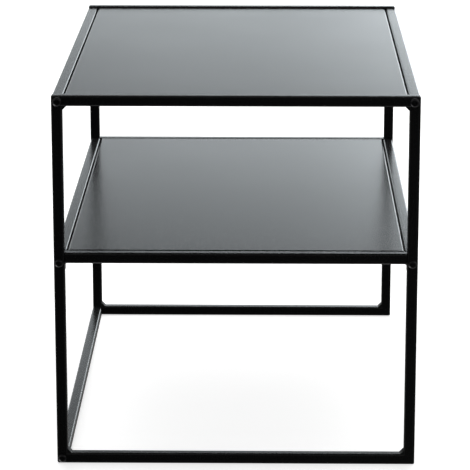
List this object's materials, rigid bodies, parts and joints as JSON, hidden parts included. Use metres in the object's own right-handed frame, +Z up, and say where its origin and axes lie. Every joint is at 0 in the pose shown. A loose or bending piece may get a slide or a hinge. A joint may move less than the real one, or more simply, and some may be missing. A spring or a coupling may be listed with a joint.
{
  "type": "side table",
  "caption": "Two-tier side table in square black steel tube, with welded end frames, bolted side rails and lift-out sheet top and shelf.",
  "frame": {"origin": "on the floor, at the centre of the footprint", "axes": "+Z up, X across the end frames, +Y from the front end frame to the rear one, which is the table's long way"},
  "size_m": [0.4, 0.6066, 0.42],
  "materials": {
    "frame_steel": "satin black powder coat on steel tube",
    "panel_steel": "satin black powder coat on flat sheet, smoother than the tube",
    "screw_steel": "black zinc plated screws",
    "hidden_steel": "plain machined steel, out of sight"
  },
  "bodies": {
    "frame": {"front_leg_left": "frame_steel", "front_leg_right": "frame_steel", "front_top_rail": "frame_steel", "front_mid_rail": "frame_steel", "front_floor_rail": "frame_steel", "front_corner_webs": "frame_steel", "rear_leg_left": "frame_steel", "rear_leg_right": "frame_steel", "rear_top_rail": "frame_steel", "rear_mid_rail": "frame_steel", "rear_floor_rail": "frame_steel", "rear_corner_webs": "frame_steel", "top_side_rail_left": "frame_steel", "top_side_rail_right": "frame_steel", "shelf_side_rail_left": "frame_steel", "shelf_side_rail_right": "frame_steel", "floor_side_rail_left": "frame_steel", "top_rail_plugs": "hidden_steel", "floor_rail_plugs": "hidden_steel", "shelf_end_plates": "frame_steel", "corner_screws": "screw_steel", "shelf_screws": "screw_steel", "floor_screws": "screw_steel", "top_panel_tabs": "frame_steel", "shelf_panel_tabs": "frame_steel"},
    "top": {"top_panel": "panel_steel", "top_panel_stiffener": "panel_steel"},
    "shelf": {"shelf_panel": "panel_steel", "shelf_panel_stiffener": "panel_steel"}
  },
  "joints": [
    {"name": "top_panel_lift", "type": "slide", "parent": "frame", "child": "top", "axis": [0, 0, 1], "range_m": [0, 0.06]},
    {"name": "shelf_panel_lift", "type": "slide", "parent": "frame", "child": "shelf", "axis": [0, 0, 1], "range_m": [0, 0.06]}
  ]
}
